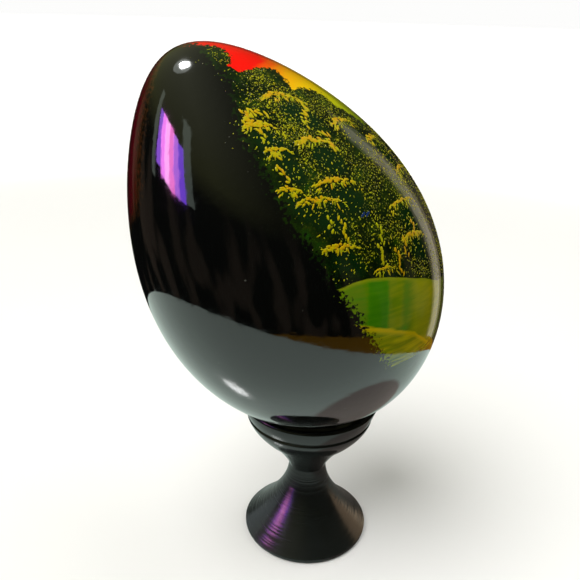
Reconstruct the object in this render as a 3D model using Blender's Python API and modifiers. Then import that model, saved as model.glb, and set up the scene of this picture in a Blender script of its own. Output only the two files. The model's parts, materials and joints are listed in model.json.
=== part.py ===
"""A painted wooden egg that stands loose and leaning in a turned egg cup.

The cup's tenon is glued into a bell-shaped foot. The egg is one solid blank whose peg hole, at
its blunt end, is filled with a plug. Units are metres, +Z is up, and the origin is the centre
of the foot's underside. The egg lifts straight up out of the cup, and turns about its own long
axis in it.
"""

from math import cos, pi, radians, sin

import bpy
from mathutils import Matrix, Vector

MM = 0.001

# Egg: a body of revolution about its long axis.
EGG_LENGTH = 100 * MM
EGG_WIDTH = 68.8 * MM
EGG_TAPER = 0.187             # how much slimmer the tip is than the blunt end
EGG_POINT = 0.129             # how much more pointed than an ellipse the ends are
EGG_LEAN = radians(28.3)      # from upright
EGG_BEARING = radians(200.5)  # direction of the lean, from +X towards +Y
EGG_MIDDLE_OUT = 9.2 * MM     # of the egg's middle from the stand's centre line, along the lean
EGG_MIDDLE_UP = 85.75 * MM    # of the egg's middle over the table

# Plug in the peg hole at the egg's blunt end.
PEG_HOLE_RADIUS = 2.4 * MM
PEG_HOLE_DEPTH = 15 * MM
DRILL_POINT = 1.3 * MM
GLUE_GAP = 0.3 * MM
PLUG_CHAMFER = 0.4 * MM

# Foot: a bell with a rounded heel, and a socket for the cup's tenon.
FOOT_BASE_RADIUS = 16.3 * MM
HEEL_RADIUS = 17.2 * MM
HEEL_ROUND = 1 * MM
HEEL_HEIGHT = 1.4 * MM
HEEL_UNDERCUT = -60           # degrees below level where the heel's arc ends
NECK_RADIUS = 5.1 * MM
NECK_HEIGHT = 21 * MM
BELL_POWER = 1.8              # how late the neck flares out into the bell
SOCKET_RADIUS = 3.3 * MM
SOCKET_DEPTH = 9 * MM

# Cup: from the neck up, a cone, a step, a band, a groove and the bowl.
CONE_RADIUS = 11.9 * MM
CONE_POWER = 1.3              # how hollow the cone's side is
STEP_RADIUS = 12.7 * MM
STEP_HEIGHT = 31.5 * MM
STEP_DROP = 0.4 * MM
GROOVE_RADIUS = 16.8 * MM
GROOVE_HEIGHT = 38.1 * MM
GROOVE_DEPTH = 0.45 * MM
GROOVE_LIP = 0.3              # of the groove's depth that the bowl stands out over it
BAND_POWER = 1.25             # how late the band draws in to the step
BAND_BULGE = 0.04             # of the band's draw, that its middle stands out
RIM_RADIUS = 18.2 * MM
RIM_HEIGHT = 42.8 * MM
RIM_ROUND = 0.7 * MM
SEAT_RADIUS = 17.1 * MM
SEAT_WIDTH = 0.9 * MM
SEAT_DROP = 0.7               # of the seat's width, from the rim to its inner edge
BOWL_POWER = 0.8              # how full the bowl's inner wall is
BOWL_WALL_END = 0.75          # of the wall's quarter wave that is cut before the seat
CUP_FLOOR_HEIGHT = 31.8 * MM
CUP_FLOOR_RADIUS = 6.5 * MM
TENON_RADIUS = 3 * MM
TENON_LENGTH = 8.6 * MM

# How finely the curves are divided.
ARC_POINTS = 4
CAP_POINTS = 5
EGG_SIDES = 64
EGG_RINGS = 40
STAND_SIDES = 56
BELL_RINGS = 13
CONE_RINGS = 7
BAND_RINGS = 6
BOWL_RINGS = 5
WELD = 0.01 * MM
BLUNT_END_START = 0.75 * pi   # where the search for a turn near the blunt end begins
HALVINGS = 40                 # steps of that search


def clear_scene():
    for old in list(bpy.data.objects):
        bpy.data.objects.remove(old, do_unlink=True)


def new_collection(name):
    made = bpy.data.collections.new(name)
    bpy.context.scene.collection.children.link(made)
    return made


def finish(name, colour, roughness):
    """A material with one colour, which is neither metal nor clear."""
    made = bpy.data.materials.new(name)
    made.use_nodes = True
    shader = made.node_tree.nodes["Principled BSDF"]
    shader.inputs["Base Color"].default_value = (*colour, 1)
    shader.inputs["Roughness"].default_value = roughness
    shader.inputs["Metallic"].default_value = 0
    return made


def turned(name, outline, sides, material, collection):
    """A lathe-turned piece. Its outline is (radius, height) points from the top of the axis,
    down the outer side, to the bottom of the axis."""
    mesh = bpy.data.meshes.new(name)
    points = [(radius, 0, height) for radius, height in outline]
    edges = [(i, i + 1) for i in range(len(points) - 1)]
    mesh.from_pydata(points, edges, [])
    mesh.materials.append(material)
    piece = bpy.data.objects.new(name, mesh)
    collection.objects.link(piece)
    screw = piece.modifiers.new("turning", "SCREW")
    screw.axis = "Z"
    screw.angle = 2 * pi
    screw.steps = sides
    screw.render_steps = sides
    screw.use_merge_vertices = True
    screw.merge_threshold = WELD
    screw.use_smooth_shade = True
    return piece


def spaced(first, last, count):
    return [first + (last - first) * i / (count - 1) for i in range(count)]


def arc(centre, radius, first, last, count):
    """Points on an arc, by angle in degrees from straight outwards, positive upwards."""
    turns = [radians(angle) for angle in spaced(first, last, count)]
    return [(centre[0] + radius * cos(a), centre[1] + radius * sin(a)) for a in turns]


def egg_point(turn):
    """(radius, height) on the egg's outline. Turn is 0 at the tip and pi at the blunt end."""
    along = cos(turn)
    fullness = 1 - EGG_TAPER * along - EGG_POINT * along * along
    return EGG_WIDTH / 2 * sin(turn) * fullness, EGG_LENGTH / 2 * along


def turn_at_radius(radius):
    """The turn near the blunt end where the egg's outline has this radius."""
    low, high = BLUNT_END_START, pi
    for _ in range(HALVINGS):
        middle = (low + high) / 2
        if egg_point(middle)[0] > radius:
            low = middle
        else:
            high = middle
    return low


def egg_outline():
    mouth = turn_at_radius(PEG_HOLE_RADIUS)
    outer = [egg_point(turn) for turn in spaced(0, mouth, EGG_RINGS)]
    hole_end = PEG_HOLE_DEPTH - EGG_LENGTH / 2
    return outer + [(PEG_HOLE_RADIUS, hole_end), (0, hole_end + DRILL_POINT)]


def plug_outline():
    radius = PEG_HOLE_RADIUS - GLUE_GAP
    top = PEG_HOLE_DEPTH - EGG_LENGTH / 2 - GLUE_GAP
    cap = [egg_point(turn) for turn in spaced(turn_at_radius(radius), pi, CAP_POINTS)]
    cap[-1] = (0, -EGG_LENGTH / 2)
    return [(0, top), (radius - PLUG_CHAMFER, top), (radius, top - PLUG_CHAMFER)] + cap


def bell_side():
    """From the neck down to the start of the heel."""
    side = []
    for up in spaced(1, 0, BELL_RINGS):
        radius = NECK_RADIUS + (HEEL_RADIUS - NECK_RADIUS) * (1 - up) ** BELL_POWER
        side.append((radius, HEEL_HEIGHT + (NECK_HEIGHT - HEEL_HEIGHT) * up))
    return side


def foot_outline():
    socket_floor = NECK_HEIGHT - SOCKET_DEPTH
    socket = [
        (0, socket_floor - DRILL_POINT),
        (SOCKET_RADIUS, socket_floor),
        (SOCKET_RADIUS, NECK_HEIGHT),
    ]
    middle = (HEEL_RADIUS - HEEL_ROUND, HEEL_ROUND)
    heel = arc(middle, HEEL_ROUND, 0, HEEL_UNDERCUT, ARC_POINTS)
    return socket + bell_side() + heel + [(FOOT_BASE_RADIUS, 0), (0, 0)]


def bowl_inside():
    """From the floor's centre up to the seat and over the rim."""
    floor_edge = (CUP_FLOOR_RADIUS, CUP_FLOOR_HEIGHT)
    seat_foot = (SEAT_RADIUS - SEAT_WIDTH, RIM_HEIGHT - SEAT_DROP * SEAT_WIDTH)
    wall = [
        (
            floor_edge[0] + (seat_foot[0] - floor_edge[0]) * sin(up * pi / 2),
            seat_foot[1] - (seat_foot[1] - floor_edge[1]) * cos(up * pi / 2) ** BOWL_POWER,
        )
        for up in spaced(0, BOWL_WALL_END, BOWL_RINGS)
    ]
    middle = (RIM_RADIUS - RIM_ROUND, RIM_HEIGHT - RIM_ROUND)
    rim = arc(middle, RIM_ROUND, 90, 0, ARC_POINTS)
    return [(0, CUP_FLOOR_HEIGHT)] + wall + [seat_foot, (SEAT_RADIUS, RIM_HEIGHT)] + rim


def bowl_outside():
    """From below the rim, past the groove and the band, to the step."""
    groove = [
        (GROOVE_RADIUS + GROOVE_LIP * GROOVE_DEPTH, GROOVE_HEIGHT + GROOVE_DEPTH),
        (GROOVE_RADIUS - GROOVE_DEPTH, GROOVE_HEIGHT),
    ]
    band = []
    for down in spaced(0, 1, BAND_RINGS):
        drawn_in = down ** BAND_POWER - BAND_BULGE * sin(down * pi)
        radius = GROOVE_RADIUS + (STEP_RADIUS - GROOVE_RADIUS) * drawn_in
        height = GROOVE_HEIGHT - GROOVE_DEPTH
        band.append((radius, height + (STEP_HEIGHT - height) * down))
    return groove + band


def cone_side():
    """From the step down to the neck."""
    top = STEP_HEIGHT - STEP_DROP
    bottom = NECK_HEIGHT + GLUE_GAP
    side = []
    for up in spaced(1, 0, CONE_RINGS):
        radius = NECK_RADIUS + (CONE_RADIUS - NECK_RADIUS) * up ** CONE_POWER
        side.append((radius, bottom + (top - bottom) * up))
    return side


def cup_outline():
    shoulder = NECK_HEIGHT + GLUE_GAP
    tenon_end = shoulder - TENON_LENGTH
    tenon = [(TENON_RADIUS, shoulder), (TENON_RADIUS, tenon_end), (0, tenon_end)]
    return bowl_inside() + bowl_outside() + cone_side() + tenon


def lean():
    """The turn that leans an upright egg over towards its bearing."""
    across = Vector((-sin(EGG_BEARING), cos(EGG_BEARING), 0))
    return Matrix.Rotation(EGG_LEAN, 4, across)


def egg_axis(collection):
    """An empty on the egg's long axis, at its middle, which carries the egg and its plug."""
    middle = Vector((cos(EGG_BEARING), sin(EGG_BEARING), 0)) * EGG_MIDDLE_OUT
    middle.z = EGG_MIDDLE_UP
    empty = bpy.data.objects.new("egg_axis", None)
    collection.objects.link(empty)
    empty.matrix_world = Matrix.Translation(middle) @ lean()
    return empty


def build():
    clear_scene()
    parts = new_collection("painted_egg_on_stand")
    lacquer = finish("painted_lacquer", (0.012, 0.013, 0.012), 0.06)
    bare_wood = finish("bare_linden", (0.58, 0.42, 0.25), 0.6)
    gloss_black = finish("gloss_black_paint", (0.014, 0.015, 0.016), 0.18)
    satin_black = finish("satin_black_paint", (0.016, 0.016, 0.017), 0.34)

    turned("stand_foot", foot_outline(), STAND_SIDES, satin_black, parts)
    turned("stand_cup", cup_outline(), STAND_SIDES, gloss_black, parts)
    axis = egg_axis(parts)
    egg = turned("egg_body", egg_outline(), EGG_SIDES, lacquer, parts)
    plug = turned("egg_plug", plug_outline(), EGG_SIDES // 2, bare_wood, parts)
    egg.parent = axis
    plug.parent = axis


build()
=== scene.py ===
"""The looks of a painted wooden egg that leans in a turned black egg cup.

The egg is lacquered black and carries a landscape that runs round three quarters of it: a red and
yellow sky, leafy tree crowns and a green meadow. It stands loose in a glossy cup on a satin foot.
Sizes are in metres and angles in radians unless a name says mm or degrees.
"""

import json
from math import cos, pi, radians, sin
from random import Random

import bmesh
import bpy
import numpy as np
from bpy.props import FloatProperty, FloatVectorProperty, IntProperty, PointerProperty
from mathutils import Matrix, Vector, noise


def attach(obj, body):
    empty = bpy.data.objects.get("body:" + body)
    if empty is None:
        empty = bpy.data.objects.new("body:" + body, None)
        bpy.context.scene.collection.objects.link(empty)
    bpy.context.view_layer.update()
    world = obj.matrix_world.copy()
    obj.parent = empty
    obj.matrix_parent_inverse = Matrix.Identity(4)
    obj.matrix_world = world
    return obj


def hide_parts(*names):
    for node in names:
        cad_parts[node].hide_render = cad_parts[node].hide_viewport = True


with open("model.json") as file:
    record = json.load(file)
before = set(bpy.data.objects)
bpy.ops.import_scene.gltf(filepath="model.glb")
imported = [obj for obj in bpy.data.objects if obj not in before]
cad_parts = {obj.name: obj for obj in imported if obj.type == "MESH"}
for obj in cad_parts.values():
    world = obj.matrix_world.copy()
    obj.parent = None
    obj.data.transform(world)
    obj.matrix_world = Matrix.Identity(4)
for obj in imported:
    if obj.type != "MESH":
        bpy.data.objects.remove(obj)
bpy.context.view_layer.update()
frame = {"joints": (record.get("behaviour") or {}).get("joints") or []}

bl_info = {
    "name": "Painted egg in a turned cup",
    "version": (1, 0, 0),
    "blender": (4, 5, 0),
    "location": "View3D > Sidebar > Painted Egg",
    "description": "Builds a lacquered wooden egg with a painted landscape, in its turned cup",
    "category": "Add Mesh",
}

MM = 0.001
TINY = 1e-6
SHARP = radians(40)         # edges that turn by more are shaded sharp
HARD_CORNER = radians(25)   # corners that turn by more are eased
HALVINGS = 40               # steps in a search by halves

# What the frame says about the egg's place: its turning joint runs along its long axis.
TURN = next(joint for joint in frame["joints"] if joint["name"] == "egg_turn")
EGG_MIDDLE = Vector(TURN["pos_m"])
EGG_AXIS = Vector(TURN["axis"]).normalized()
EGG_TURNED = Vector((0, 0, 1)).rotation_difference(EGG_AXIS).to_matrix().to_4x4()
EGG_PLACE = Matrix.Translation(EGG_MIDDLE) @ EGG_TURNED


def linear(colour):
    """An sRGB hex colour, such as #ffd800, as three linear values."""
    parts = [int(colour[i : i + 2], 16) / 255 for i in (1, 3, 5)]
    return tuple(c / 12.92 if c < 0.04045 else ((c + 0.055) / 1.055) ** 2.4 for c in parts)


def rgba(shade):
    """A hex or a linear colour, as a node's colour socket takes it."""
    return (*(linear(shade) if isinstance(shade, str) else shade), 1)


# ---------------- what a user would change

def length(name, description, default_mm):
    return FloatProperty(
        name=name, description=description, default=default_mm * MM, min=0, unit="LENGTH"
    )


def colour(name, description, default):
    return FloatVectorProperty(
        name=name, description=description, default=linear(default), subtype="COLOR", min=0, max=1
    )


class EggSizes(bpy.types.PropertyGroup):
    length: length("Length", "From the tip to the blunt end", 100)
    width: length("Width", "Across the egg at its widest", 68.8)
    taper: FloatProperty(
        name="Taper", description="How much slimmer the tip is than the blunt end", default=0.187
    )
    point: FloatProperty(
        name="Point", description="How much sharper than an ellipse the ends are", default=0.129
    )
    peg_hole: length("Peg hole radius", "Hole that held the egg while it was painted", 2.4)
    peg_depth: length("Peg hole depth", "From the blunt end to where the drill point starts", 15)
    sides: IntProperty(name="Sides", description="Faces round the egg", default=288, min=16)
    rings: IntProperty(name="Rings", description="Faces along the egg", default=230, min=12)


class StandSizes(bpy.types.PropertyGroup):
    base_radius: length("Base radius", "Flat underside of the foot", 16.3)
    heel_radius: length("Heel radius", "The foot at its widest", 17.2)
    neck_radius: length("Neck radius", "The waist between foot and cup", 5.1)
    neck_height: length("Neck height", "Where the cup is glued to the foot", 21)
    step_radius: length("Step radius", "Lower edge of the cup's band", 12.7)
    step_height: length("Step height", "Height of that edge", 31.5)
    groove_radius: length("Groove radius", "The cup at its groove", 16.8)
    groove_height: length("Groove height", "Height of the groove", 38.1)
    rim_radius: length("Rim radius", "Outside of the cup's rim", 18.2)
    rim_height: length("Rim height", "Top of the cup", 42.8)
    mark_pitch: length("Turning mark pitch", "From one lathe mark to the next", 0.7)
    mark_depth: length("Turning mark depth", "From crest to mean surface", 0.022)
    sides: IntProperty(name="Sides", description="Faces round the stand", default=144, min=16)


class PaintColours(bpy.types.PropertyGroup):
    black: colour("Lacquer", "Black lacquer round the picture", "#090a09")
    red: colour("High sky", "Sky near the egg's tip", "#ff0a00")
    orange: colour("Middle sky", "Sky between red and gold", "#ff6a00")
    golden: colour("Golden sky", "Sky over the tree tops", "#ffd400")
    lime: colour("Low sky", "Sky low down between the crowns", "#a6bc18")
    leaf_dark: colour("Leaf shade", "Deepest green in the crowns", "#061004")
    leaf_green: colour("Leaf green", "Lit green in the crowns", "#1a4407")
    leaf_light: colour("Leaf light", "Yellow-olive dabs", "#b8ba08")
    gold: colour("Gold strokes", "Crown edges picked out in gold", "#d4a400")
    grass: colour("Grass", "Middle green of the meadow", "#549a08")
    straw: colour("Straw", "Yellow strokes in the meadow", "#cbc114")
    blue: colour("Blue", "One small touch between the crowns", "#0a2c66")


class SpatterSizes(bpy.types.PropertyGroup):
    per_square_mm: FloatProperty(
        name="Spatter", description="Fine dabs to a square millimetre", default=5, min=0
    )
    smallest: length("Smallest dab", "Half length of the smallest dab", 0.1)
    largest: length("Largest dab", "Half length of the largest dab", 0.26)
    relief: length("Relief", "How far the paint stands proud", 0.035)
    seed: IntProperty(name="Seed", description="Another seed throws the dabs elsewhere", default=7)


GROUPS = {
    "egg_sizes": EggSizes,
    "stand_sizes": StandSizes,
    "paint_colours": PaintColours,
    "spatter_sizes": SpatterSizes,
}


# ---------------- shared helpers

def give(made, inputs):
    """Gives a node its inputs: values, sockets, or nodes whose first live output is linked."""
    for key, value in inputs.items():
        if isinstance(value, bpy.types.Node):
            value = next(socket for socket in value.outputs if socket.enabled)
        if isinstance(value, bpy.types.NodeSocket):
            made.id_data.links.new(value, made.inputs[key])
        else:
            made.inputs[key].default_value = value


def node(tree, kind, inputs=None, stops=None, **settings):
    """Adds a node with its settings and its inputs. Stops are the rising (place, hex or linear
    colour) pairs of a colour ramp."""
    made = tree.nodes.new(kind)
    for key, value in settings.items():
        setattr(made, key, value)
    give(made, inputs or {})
    if stops:
        elements = made.color_ramp.elements
        elements.remove(elements[1])
        elements[0].position = stops[0][0]
        for place, _ in stops[1:]:
            elements.new(place)
        for element, (_, shade) in zip(elements, stops):
            element.color = rgba(shade)
    return made


def new_material(name):
    """A material with an empty Principled BSDF, and its tree and shader."""
    made = bpy.data.materials.new(name)
    made.use_nodes = True
    return made, made.node_tree, made.node_tree.nodes["Principled BSDF"]


def new_object(name, mesh):
    made = bpy.data.objects.new(name, mesh)
    bpy.context.scene.collection.objects.link(made)
    return made


def new_tree(name, sockets):
    """A geometry tree with a geometry in and out, the inputs it is given, and its output node."""
    tree = bpy.data.node_groups.new(name, "GeometryNodeTree")
    for title, kind in {"Geometry": "Geometry", **sockets}.items():
        tree.interface.new_socket(title, in_out="INPUT", socket_type="NodeSocket" + kind)
    tree.interface.new_socket("Geometry", in_out="OUTPUT", socket_type="NodeSocketGeometry")
    return tree, node(tree, "NodeGroupInput").outputs, node(tree, "NodeGroupOutput")


def dressed(tree, out, shape, paint, smooth=False):
    """Ends a geometry tree with real geometry that has its material."""
    shape = node(tree, "GeometryNodeRealizeInstances", {"Geometry": shape})
    if smooth:
        shape = node(tree, "GeometryNodeSetShadeSmooth", {"Geometry": shape})
    shape = node(tree, "GeometryNodeSetMaterial", {"Geometry": shape, "Material": paint})
    give(out, {0: shape})


def grown(name, base, tree, values):
    """The plain mesh object that a geometry tree makes from a base mesh."""
    made = new_object(name, base)
    modifier = made.modifiers.new("tree", "NODES")
    modifier.node_group = tree
    for socket in tree.interface.items_tree:
        if socket.name in values:
            modifier[socket.identifier] = values[socket.name]
    evaluated = made.evaluated_get(bpy.context.evaluated_depsgraph_get())
    result = bpy.data.meshes.new_from_object(evaluated)
    made.modifiers.remove(modifier)
    made.data = result
    result.name = name
    return made


def close_up(shape, mesh):
    """Writes a finished shape to a mesh, with its faces outward and its sharp edges sharp."""
    bmesh.ops.recalc_face_normals(shape, faces=shape.faces)
    shape.to_mesh(mesh)
    shape.free()
    mesh.shade_smooth()
    mesh.set_sharp_from_angle(angle=SHARP)


def lathe(name, outline, sides):
    """A closed mesh turned from (radius, height) points, from the top of the axis to its bottom."""
    shape = bmesh.new()
    turns = [2 * pi * i / sides for i in range(sides)]
    rings = []
    for radius, height in outline:
        around = turns if radius > TINY else [0]
        rings.append([shape.verts.new((radius * cos(a), radius * sin(a), height)) for a in around])
    for upper, lower in zip(rings, rings[1:]):
        for i in range(sides):
            corners = [upper[i % len(upper)], lower[i % len(lower)]]
            corners += [lower[(i + 1) % len(lower)], upper[(i + 1) % len(upper)]]
            shape.faces.new(list(dict.fromkeys(corners)))
    made = bpy.data.meshes.new(name)
    close_up(shape, made)
    return made


def spaced(first, last, count):
    return [first + (last - first) * i / (count - 1) for i in range(count)]


def arc(centre, radius, first, last, count):
    """Points on an arc, by angle in degrees from straight outwards, positive upwards."""
    turns = [radians(angle) for angle in spaced(first, last, count)]
    return [(centre[0] + radius * cos(a), centre[1] + radius * sin(a)) for a in turns]


def eased(outline, ease):
    """The outline with its hard corners rounded, as sanding and paint leave them."""
    points = [Vector(point) for point in outline]
    made = [points[0]]
    for before, here, after in zip(points, points[1:], points[2:]):
        run_in, run_out = here - before, after - here
        shortest = min(run_in.length, run_out.length)
        if shortest < TINY or run_in.angle(run_out) < HARD_CORNER:
            made.append(here)
            continue
        start = here - run_in.normalized() * min(ease, run_in.length / 2)
        end = here + run_out.normalized() * min(ease, run_out.length / 2)
        for t in (0, 0.25, 0.5, 0.75, 1):
            made.append(start.lerp(here, t).lerp(here.lerp(end, t), t))
    return [tuple(point) for point in made + [points[-1]]]


# ---------------- the egg's shape

BLUNT_END_START = 0.75 * pi     # the turn past which the outline only narrows
SLOPE_STEP = 0.01               # turn to each side that gives the outline's slope
MERGED = 0.005 * MM             # points this near are one
DRILL_POINT = 1.3 * MM          # length of the drill's cone at the end of a hole
PLUG_GAP = 0.3 * MM             # round the plug, for glue
PLUG_CHAMFER = 0.4 * MM


def egg_point(sizes, turn):
    """(radius, height) on the egg's outline. Turn is 0 at the tip and pi at the blunt end."""
    along = cos(turn)
    fullness = 1 - sizes.taper * along - sizes.point * along * along
    return sizes.width / 2 * sin(turn) * fullness, sizes.length / 2 * along


def halved(low, high, is_low):
    """The value between two ends up to which a test holds."""
    for _ in range(HALVINGS):
        middle = (low + high) / 2
        low, high = (middle, high) if is_low(middle) else (low, middle)
    return middle


def turn_at_radius(sizes, radius):
    """The turn near the blunt end where the egg's outline has this radius."""
    return halved(BLUNT_END_START, pi, lambda turn: egg_point(sizes, turn)[0] > radius)


def on_egg(sizes, around, height):
    """The place on the egg's skin and its outward normal, at an angle in degrees round the egg's
    own axis and a height over the table in millimetres, with the egg at rest."""
    bearing = radians(around)

    def skin(turn):
        radius, along = egg_point(sizes, turn)
        return EGG_PLACE @ Vector((radius * cos(bearing), radius * sin(bearing), along))

    turn = halved(0.0, pi, lambda turn: skin(turn).z > height * MM)
    before = egg_point(sizes, turn - SLOPE_STEP)
    after = egg_point(sizes, turn + SLOPE_STEP)
    out = Vector((before[1] - after[1], after[0] - before[0])).normalized()
    normal = Vector((out.x * cos(bearing), out.x * sin(bearing), out.y))
    return skin(turn), EGG_TURNED.to_3x3() @ normal


def egg_tree():
    """The egg as a rule: a flat grid is rolled round the axis, and its radius follows the
    outline's formula from the tip down to the mouth of the peg hole."""
    sockets = {"Length": "Float", "Width": "Float", "Taper": "Float", "Point": "Float"}
    sockets |= {"Mouth Turn": "Float", "Sides": "Int", "Rings": "Int", "Lacquer": "Material"}
    tree, given, out = new_tree("egg_by_rule", sockets)
    across = node(tree, "ShaderNodeMath", {0: given["Sides"], 1: 1.0}, operation="ADD")
    grid = node(
        tree,
        "GeometryNodeMeshGrid",
        {"Size X": 1.0, "Size Y": 1.0, "Vertices X": across, "Vertices Y": given["Rings"]},
    )
    flat = node(
        tree, "ShaderNodeSeparateXYZ", {"Vector": node(tree, "GeometryNodeInputPosition")}
    ).outputs
    bearing = node(tree, "ShaderNodeMath", {0: flat["X"], 1: 2 * pi}, operation="MULTIPLY")
    down = node(tree, "ShaderNodeMath", {0: 0.5, 1: flat["Y"]}, operation="SUBTRACT")
    turn = node(tree, "ShaderNodeMath", {0: down, 1: given["Mouth Turn"]}, operation="MULTIPLY")
    along = node(tree, "ShaderNodeMath", {0: turn}, operation="COSINE")
    aside = node(tree, "ShaderNodeMath", {0: turn}, operation="SINE")
    slimmed = node(tree, "ShaderNodeMath", {0: given["Taper"], 1: along}, operation="MULTIPLY")
    squared = node(tree, "ShaderNodeMath", {0: along, 1: along}, operation="MULTIPLY")
    pointed = node(tree, "ShaderNodeMath", {0: given["Point"], 1: squared}, operation="MULTIPLY")
    lost = node(tree, "ShaderNodeMath", {0: slimmed, 1: pointed}, operation="ADD")
    fullness = node(tree, "ShaderNodeMath", {0: 1.0, 1: lost}, operation="SUBTRACT")
    half = node(tree, "ShaderNodeMath", {0: given["Width"], 1: 0.5}, operation="MULTIPLY")
    widest = node(tree, "ShaderNodeMath", {0: half, 1: aside}, operation="MULTIPLY")
    radius = node(tree, "ShaderNodeMath", {0: widest, 1: fullness}, operation="MULTIPLY")
    rise = node(tree, "ShaderNodeMath", {0: given["Length"], 1: 0.5}, operation="MULTIPLY")
    x = node(tree, "ShaderNodeMath", {0: bearing}, operation="COSINE")
    y = node(tree, "ShaderNodeMath", {0: bearing}, operation="SINE")
    place = node(
        tree,
        "ShaderNodeCombineXYZ",
        {
            "X": node(tree, "ShaderNodeMath", {0: radius, 1: x}, operation="MULTIPLY"),
            "Y": node(tree, "ShaderNodeMath", {0: radius, 1: y}, operation="MULTIPLY"),
            "Z": node(tree, "ShaderNodeMath", {0: rise, 1: along}, operation="MULTIPLY"),
        },
    )
    rolled = node(tree, "GeometryNodeSetPosition", {"Geometry": grid, "Position": place})
    closed = node(tree, "GeometryNodeMergeByDistance", {"Geometry": rolled, "Distance": MERGED})
    dressed(tree, out, closed, given["Lacquer"])
    return tree


def sink_peg_hole(mesh, sizes):
    """Runs the open mouth at the blunt end up into the wood and closes it with a drill point."""
    shape = bmesh.new()
    shape.from_mesh(mesh)
    rim = [edge for edge in shape.edges if edge.is_boundary]
    wall = bmesh.ops.extrude_edge_only(shape, edges=rim)["geom"]
    hole_end = sizes.peg_depth - sizes.length / 2
    for vert in wall:
        if isinstance(vert, bmesh.types.BMVert):
            vert.co.z = hole_end
    floor = [edge for edge in shape.edges if edge.is_boundary]
    point = shape.verts.new((0, 0, hole_end + DRILL_POINT))
    for edge in floor:
        shape.faces.new((*edge.verts, point))
    close_up(shape, mesh)


# ---------------- the picture's layout

# (mm along the egg's axis from its middle, degrees round it) of the picture's left edge.
LEFT_EDGE = [(-50, -60), (-26, -62), (-12, -65), (2, -67), (17, -69), (26, -68), (35, -66)]
LEFT_EDGE += [(39, -57), (43, -47), (46.8, -41), (47.8, -33), (48.6, -17), (50, 0)]
RIGHT_EDGE = [(-50, 190), (14, 194), (24, 201), (27, 213), (32, 218), (50, 218)]
BLACK_MIDDLE = 233      # degrees, halfway through the plain black behind the egg
SEAM = -112             # degrees, in the plain black, where the angle jumps

# (degrees, mm along the axis) of the tree tops against the sky.
TREE_TOPS = [(-70, 56), (-45, 48), (-33, 41), (-24, 34), (-17, 31), (-10, 27), (-3, 21)]
TREE_TOPS += [(18, 15), (45, 22), (70, 30), (95, 24), (125, 12), (150, 16), (180, 24), (206, 22)]
DOME = 9.5              # mm, from one crown to the next
DOME_RISE = 3           # mm
TWIG = 3.7              # mm, from one small tuft to the next
TWIG_RISE = 0.4         # of a crown's rise
BELLY = 30              # mm, the egg's radius where most crowns stand

# (mm along the axis, degrees) of the sides of the two round crowns before the sunset.
FRONT_CROWNS = [(20, -2), (23, -4), (26, -9), (28.5, -6.5), (31, -7), (33.4, -14), (34.3, -22)]
FRONT_CROWNS += [(36.3, -16), (38.5, -11), (40.1, -18), (41.2, -26), (42, -36), (42.4, -90)]
TIP_CROWN = (-40, 46.5, 4.2)    # degrees, mm along the axis and mm radius of the highest crown
TIP_CROWN_OUT = 8.6     # mm from the axis to its middle

# (degrees, mm over the table) of the far edge of the meadow and of its straw-yellow ridge.
HORIZON = [(-70, 88.2), (-62, 89.5), (-57, 89.8), (-50, 89.2), (-42, 87.7), (-34, 85.9)]
HORIZON += [(-26, 83.4), (-15, 82.5), (60, 87), (140, 91), (206, 90)]
RIDGE = [(-70, 81), (-64, 79.7), (-56, 77.7), (-49, 75.6), (-45, 72.8), (-38, 68.5), (-20, 70)]
RIDGE += [(30, 79), (90, 74), (206, 78)]
MEADOW_FOOT = 69        # mm over the table
CROWN_SHADE = 3.2       # mm, half the height of the shade under each gold crown edge
SPATTER_FADE = 9        # mm inside the picture's edges where the spatter is at its thickest
STRAY_REACH = 5         # mm outside the left edge that stray spatter reaches
STRAY_FROM = 26         # mm along the axis where it starts
PATCH = 5 * MM          # size of the thicker and thinner patches in the spatter
WASH_LEAN = 0.8         # degrees that a wash moves round for each mm up
WASH_TOP = 89           # mm over the table where a wash has the bearing given here

# (degrees, 0 for green to 1 for straw) of the washes in the meadow.
WASHES = [(-70, 0.5), (-61, 0.42), (-58, 0.36), (-57, 0.12), (-51, 0.1), (-50, 0.5)]
WASHES += [(-45, 0.55), (-43, 0.36), (-38, 0.7), (-30, 0.8), (0, 0.45), (40, 0.25)]
WASHES += [(90, 0.7), (150, 0.35), (206, 0.2)]


def along_line(where, line):
    """A value read off a line of points whose first numbers rise."""
    return np.interp(where, [point[0] for point in line], [point[1] for point in line])


def share(value):
    return np.clip(value, 0, 1)


def crown_line(around):
    """Millimetres along the axis of the tree tops, with a dome for each crown."""
    arc_length = around * pi / 180 * BELLY
    domes = np.abs(np.sin(arc_length / DOME * pi))
    twigs = TWIG_RISE * np.abs(np.sin(arc_length / TWIG * pi + 1))
    return along_line(around, TREE_TOPS) + DOME_RISE * (domes + twigs - 0.8)


def inside_crowns(around, along, mm_per_degree):
    """Millimetres that a spot lies inside the crowns, measured along the egg or round it."""
    beside_sky = (along_line(along, FRONT_CROWNS) - around) * mm_per_degree
    return np.maximum(crown_line(around) - along, beside_sky)


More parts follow.
